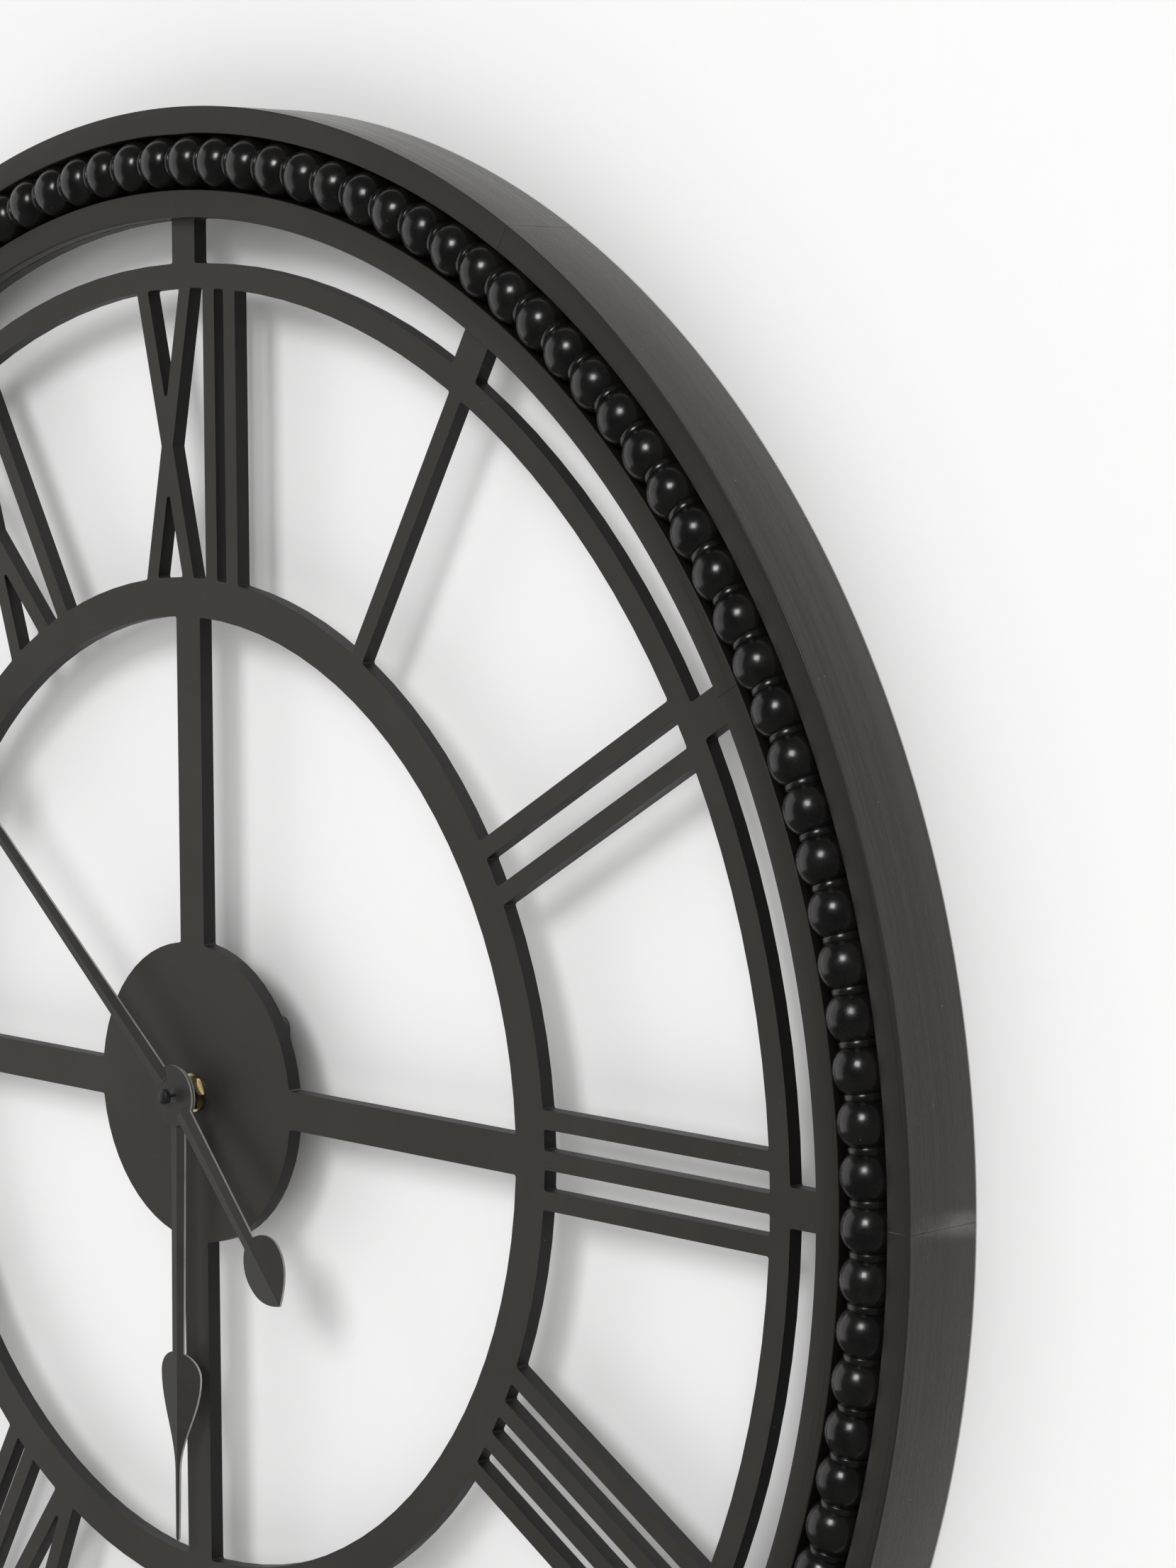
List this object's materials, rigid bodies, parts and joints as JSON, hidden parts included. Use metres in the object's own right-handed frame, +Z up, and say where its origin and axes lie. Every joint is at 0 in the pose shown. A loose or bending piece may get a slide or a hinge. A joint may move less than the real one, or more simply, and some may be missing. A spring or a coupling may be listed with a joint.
{
  "type": "wall clock",
  "caption": "Round skeleton wall clock with a beaded rim, open roman numeral dial, two spade hands and a quartz movement.",
  "frame": {"origin": "on the dial axis, in the plane of the wall that the rim's back edge touches", "axes": "-Y out of the dial towards the viewer, +Y into the wall, +Z up through twelve o'clock, +X towards three o'clock"},
  "size_m": [0.7, 0.0508, 0.7],
  "materials": {
    "rim_paint": "satin black paint on wood",
    "bezel_paint": "satin black paint on wood",
    "bead_gloss": "gloss black paint",
    "dial_paint": "satin black paint on board",
    "hand_paint": "satin black paint",
    "brass": "bright",
    "steel": "plain",
    "rubber": "matte",
    "black_plastic": "matte",
    "case_plastic": "matte",
    "battery_can": "printed can, plain",
    "board_green": "solder resist",
    "copper": "enamelled wire",
    "gear_plastic": "natural"
  },
  "bodies": {
    "frame": {"back_ring": "rim_paint", "bead_string": "bead_gloss", "bead_wire": "steel", "bezel_segment_1": "bezel_paint", "bezel_segment_2": "bezel_paint", "bezel_segment_3": "bezel_paint", "bezel_segment_4": "bezel_paint", "bezel_segment_5": "bezel_paint", "bezel_segment_6": "bezel_paint", "brass_washer": "brass", "bushing": "brass", "circuit_board": "board_green", "coil_bobbin": "gear_plastic", "coil_core": "steel", "coil_winding": "copper", "contact_minus": "steel", "contact_plus": "brass", "dial_plate": "dial_paint", "hanger_block": "rim_paint", "hanger_plate": "steel", "hanger_screws": "steel", "hex_nut": "brass", "hoop_segment_1": "rim_paint", "hoop_segment_2": "rim_paint", "hoop_segment_3": "rim_paint", "hoop_segment_4": "rim_paint", "hoop_segment_5": "rim_paint", "hoop_segment_6": "rim_paint", "movement_case": "case_plastic", "movement_cover": "case_plastic", "rubber_washer": "rubber", "stator": "steel"},
    "minute": {"centre_arbor": "gear_plastic", "minute_hand": "hand_paint", "minute_collet": "black_plastic"},
    "hour": {"hour_wheel": "gear_plastic", "hour_hand": "hand_paint", "hour_collet": "black_plastic"},
    "second": {"second_wheel": "brass", "arbor_cap": "black_plastic"},
    "minute_wheel": {"minute_wheel": "gear_plastic"},
    "centre_wheel": {"centre_wheel": "gear_plastic"},
    "third_wheel": {"third_wheel": "gear_plastic"},
    "fifth_wheel": {"fifth_wheel": "gear_plastic"},
    "rotor": {"rotor": "gear_plastic"},
    "knob": {"setting_knob": "case_plastic"},
    "battery": {"battery": "battery_can"}
  },
  "joints": [
    {"name": "minute_turn", "type": "hinge", "parent": "frame", "child": "minute", "pos_m": [0, 0, 0], "axis": [0, 1, 0], "continuous": true},
    {"name": "hour_turn", "type": "hinge", "parent": "frame", "child": "hour", "pos_m": [0, 0, 0], "axis": [0, 1, 0], "continuous": true},
    {"name": "second_turn", "type": "hinge", "parent": "frame", "child": "second", "pos_m": [0, 0, 0], "axis": [0, 1, 0], "continuous": true},
    {"name": "minute_wheel_turn", "type": "hinge", "parent": "frame", "child": "minute_wheel", "pos_m": [0.006, 0, 0], "axis": [0, 1, 0], "continuous": true},
    {"name": "centre_wheel_turn", "type": "hinge", "parent": "frame", "child": "centre_wheel", "pos_m": [0, 0, 0], "axis": [0, 1, 0], "continuous": true},
    {"name": "third_wheel_turn", "type": "hinge", "parent": "frame", "child": "third_wheel", "pos_m": [-0.00636, 0, 0.00636], "axis": [0, 1, 0], "continuous": true},
    {"name": "fifth_wheel_turn", "type": "hinge", "parent": "frame", "child": "fifth_wheel", "pos_m": [0.00636, 0, 0.00636], "axis": [0, 1, 0], "continuous": true},
    {"name": "rotor_turn", "type": "hinge", "parent": "frame", "child": "rotor", "pos_m": [0.00986, 0, 0.01243], "axis": [0, 1, 0], "continuous": true},
    {"name": "knob_turn", "type": "hinge", "parent": "frame", "child": "knob", "pos_m": [0.012, 0, 0], "axis": [0, 1, 0], "continuous": true},
    {"name": "battery_slide", "type": "slide", "parent": "frame", "child": "battery", "axis": [0, 1, 0], "range_m": [0, 0.03]}
  ],
  "couplings": [
    {"joint": "hour_turn", "follows": "minute_turn", "ratio": 0.083333},
    {"joint": "minute_wheel_turn", "follows": "minute_turn", "ratio": -0.33333},
    {"joint": "knob_turn", "follows": "minute_turn", "ratio": 1},
    {"joint": "centre_wheel_turn", "follows": "second_turn", "ratio": 0.016667},
    {"joint": "third_wheel_turn", "follows": "second_turn", "ratio": -0.13333},
    {"joint": "fifth_wheel_turn", "follows": "second_turn", "ratio": -5},
    {"joint": "rotor_turn", "follows": "second_turn", "ratio": 30}
  ]
}
